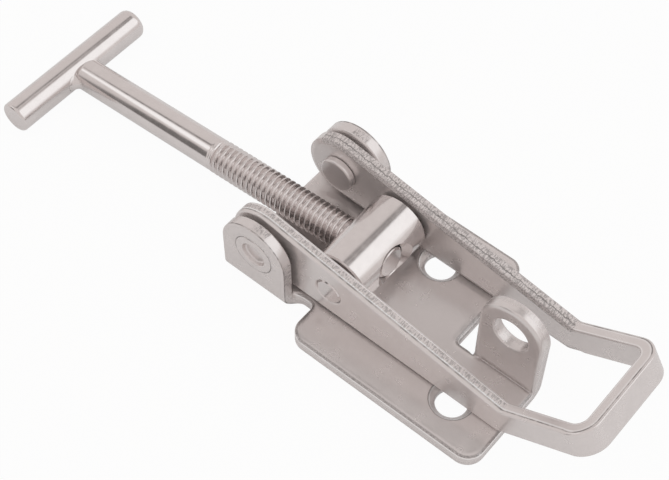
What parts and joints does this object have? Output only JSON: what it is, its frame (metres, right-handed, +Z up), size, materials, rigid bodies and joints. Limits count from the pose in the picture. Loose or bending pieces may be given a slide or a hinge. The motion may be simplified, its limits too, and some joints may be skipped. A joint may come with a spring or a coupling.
{
  "type": "over centre toggle latch",
  "caption": "Over centre toggle latch with a screwed T-bar hook, a looped handle and a padlock eye on a folded base.",
  "frame": {"origin": "on the base plate's mounting face, under the trunnion's axis, on the centre line", "axes": "+X along the latch from the T-bar to the handle loop, +Y across it to the far side, +Z up from the mounting face"},
  "size_m": [0.159, 0.046, 0.0262],
  "materials": {
    "satin_sheet": "satin rolled sheet, tumbled edges",
    "turned_steel": "fine turned",
    "drawn_bar": "bright drawn bar",
    "weld_steel": "satin weld metal"
  },
  "bodies": {
    "base": {"base_plate": "satin_sheet", "pivot_rivet_near": "turned_steel", "pivot_rivet_far": "turned_steel"},
    "handle": {"handle": "satin_sheet"},
    "trunnion": {"trunnion": "turned_steel"},
    "t_hook": {"threaded_rod": "drawn_bar", "t_crossbar": "drawn_bar", "t_weld": "weld_steel"}
  },
  "joints": [
    {"name": "handle_lift", "type": "hinge", "parent": "base", "child": "handle", "pos_m": [-0.01725, 0, 0.0126], "axis": [0, -1, 0], "range_deg": [0, 165]},
    {"name": "trunnion_turn", "type": "hinge", "parent": "handle", "child": "trunnion", "pos_m": [0, 0, 0.01072], "axis": [0, -1, 0], "range_deg": [-165, 0]},
    {"name": "rod_adjust", "type": "slide", "parent": "trunnion", "child": "t_hook", "axis": [0.997, 0, 0.0779], "range_m": [-0.005, 0.018]}
  ],
  "couplings": [
    {"joint": "trunnion_turn", "follows": "handle_lift", "ratio": -1}
  ]
}
